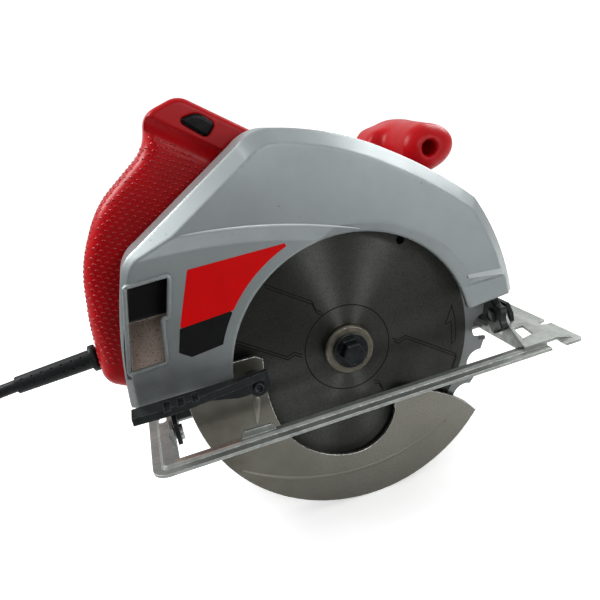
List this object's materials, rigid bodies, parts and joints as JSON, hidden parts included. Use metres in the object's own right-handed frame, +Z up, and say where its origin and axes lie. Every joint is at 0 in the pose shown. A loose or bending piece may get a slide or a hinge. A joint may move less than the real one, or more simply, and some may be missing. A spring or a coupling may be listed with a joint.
{
  "type": "circular saw",
  "caption": "Corded circular saw with a cast hood, swinging lower guard, stamped tilting foot, rear handle with trigger and round front grip.",
  "frame": {"origin": "on the sole plane of the foot, under the arbor, in the middle plane of the blade", "axes": "+X forward along the cut, +Y left towards the motor, +Z up"},
  "size_m": [0.5216, 0.2383, 0.2542],
  "materials": {
    "silver_paint": "satin silver paint on a thin casting",
    "cast_aluminium": "as cast",
    "red_plastic": "fine moulded texture",
    "black_plastic": "moulded",
    "cord_rubber": "moulded rubber",
    "blade_steel": "ground, dark",
    "carbide": "ground",
    "guard_steel": "satin",
    "lever_black": "black",
    "zinc_steel": "zinc plated",
    "machined_steel": "machined",
    "laminated_steel": "stacked sheets",
    "copper_wire": "varnished wire",
    "brass_metal": "drawn",
    "carbon_block": "pressed carbon"
  },
  "bodies": {
    "saw_body": {"upper_guard": "silver_paint", "gear_case": "cast_aluminium", "gear_case_screws": "zinc_steel", "bearing_retainer": "cast_aluminium", "guard_snap_ring": "zinc_steel", "spindle_bearing": "machined_steel", "spindle_bush": "brass_metal", "gear_plate": "cast_aluminium", "motor_housing": "black_plastic", "motor_end_cap": "black_plastic", "end_cap_screws": "zinc_steel", "field_core": "laminated_steel", "field_coils": "copper_wire", "brush_holders": "brass_metal", "carbon_brushes": "carbon_block", "brush_caps": "black_plastic", "armature_bearings": "machined_steel", "handle_right": "red_plastic", "handle_left": "red_plastic", "handle_screws": "zinc_steel", "aux_handle": "red_plastic", "aux_handle_screw": "zinc_steel", "switch_body": "black_plastic", "strain_relief": "cord_rubber", "cord": "cord_rubber", "cord_coil": "cord_rubber", "cord_tail": "cord_rubber", "plug_body": "cord_rubber", "plug_blades": "brass_metal", "guard_spring": "zinc_steel", "depth_clamp_bolt": "zinc_steel"},
    "blade": {"saw_blade": "blade_steel", "carbide_tips": "carbide", "arbor_spindle": "machined_steel", "inner_flange": "zinc_steel", "outer_flange": "zinc_steel", "arbor_bolt": "zinc_steel", "drive_gear": "machined_steel"},
    "armature": {"armature_shaft": "machined_steel", "armature_core": "laminated_steel", "armature_windings": "copper_wire", "commutator": "black_plastic", "cooling_fan": "black_plastic", "pinion": "machined_steel"},
    "lower_guard": {"lower_guard": "guard_steel", "guard_lever": "lever_black", "guard_lever_screw": "zinc_steel"},
    "depth_frame": {"front_bracket": "lever_black", "depth_arc": "lever_black", "depth_pivot_pin": "zinc_steel", "bevel_pivot_pins": "zinc_steel"},
    "foot": {"foot": "zinc_steel", "bevel_bolt": "zinc_steel"},
    "bevel_knob": {"bevel_knob": "black_plastic"},
    "depth_lever": {"depth_lever": "black_plastic"},
    "trigger": {"trigger": "black_plastic"},
    "lock_off_button": {"lock_off_button": "black_plastic"},
    "spindle_lock": {"spindle_lock_button": "black_plastic"}
  },
  "joints": [
    {"name": "blade_spin", "type": "hinge", "parent": "saw_body", "child": "blade", "pos_m": [0, 0, 0.0265], "axis": [0, 1, 0], "continuous": true},
    {"name": "motor_spin", "type": "hinge", "parent": "saw_body", "child": "armature", "pos_m": [-0.003, 0, 0.05132], "axis": [0, 1, 0], "continuous": true},
    {"name": "guard_swing", "type": "hinge", "parent": "saw_body", "child": "lower_guard", "pos_m": [0, 0, 0.0265], "axis": [0, 1, 0], "range_deg": [0, 130], "stiffness_Nm_per_rad": 0.25, "springref_deg": -45.84},
    {"name": "depth_swing", "type": "hinge", "parent": "saw_body", "child": "depth_frame", "pos_m": [0.098, 0, 0.044], "axis": [0, 1, 0], "range_deg": [-30, 0]},
    {"name": "bevel_tilt", "type": "hinge", "parent": "depth_frame", "child": "foot", "pos_m": [0, -0.002, 0.0075], "axis": [-1, 0, 0], "range_deg": [0, 45]},
    {"name": "knob_turn", "type": "hinge", "parent": "foot", "child": "bevel_knob", "pos_m": [0.097, -0.002, 0.0195], "axis": [1, 0, 0], "range_deg": [-180, 180]},
    {"name": "depth_lock", "type": "hinge", "parent": "saw_body", "child": "depth_lever", "pos_m": [-0.07396, 0.024, 0.0401], "axis": [0, 1, 0], "range_deg": [-30, 45]},
    {"name": "trigger_pull", "type": "slide", "parent": "saw_body", "child": "trigger", "axis": [-0.666, 0, 0.7459], "range_m": [0, 0.004], "stiffness_N_per_m": 1500, "springref_m": -0.002},
    {"name": "lock_off_press", "type": "slide", "parent": "saw_body", "child": "lock_off_button", "axis": [0, 1, 0], "range_m": [0, 0.003], "stiffness_N_per_m": 1000, "springref_m": -0.002},
    {"name": "spindle_lock_press", "type": "slide", "parent": "saw_body", "child": "spindle_lock", "axis": [-1, 0, 0], "range_m": [0, 0.004], "stiffness_N_per_m": 800, "springref_m": -0.002}
  ],
  "couplings": [
    {"joint": "motor_spin", "follows": "blade_spin", "ratio": -4}
  ]
}
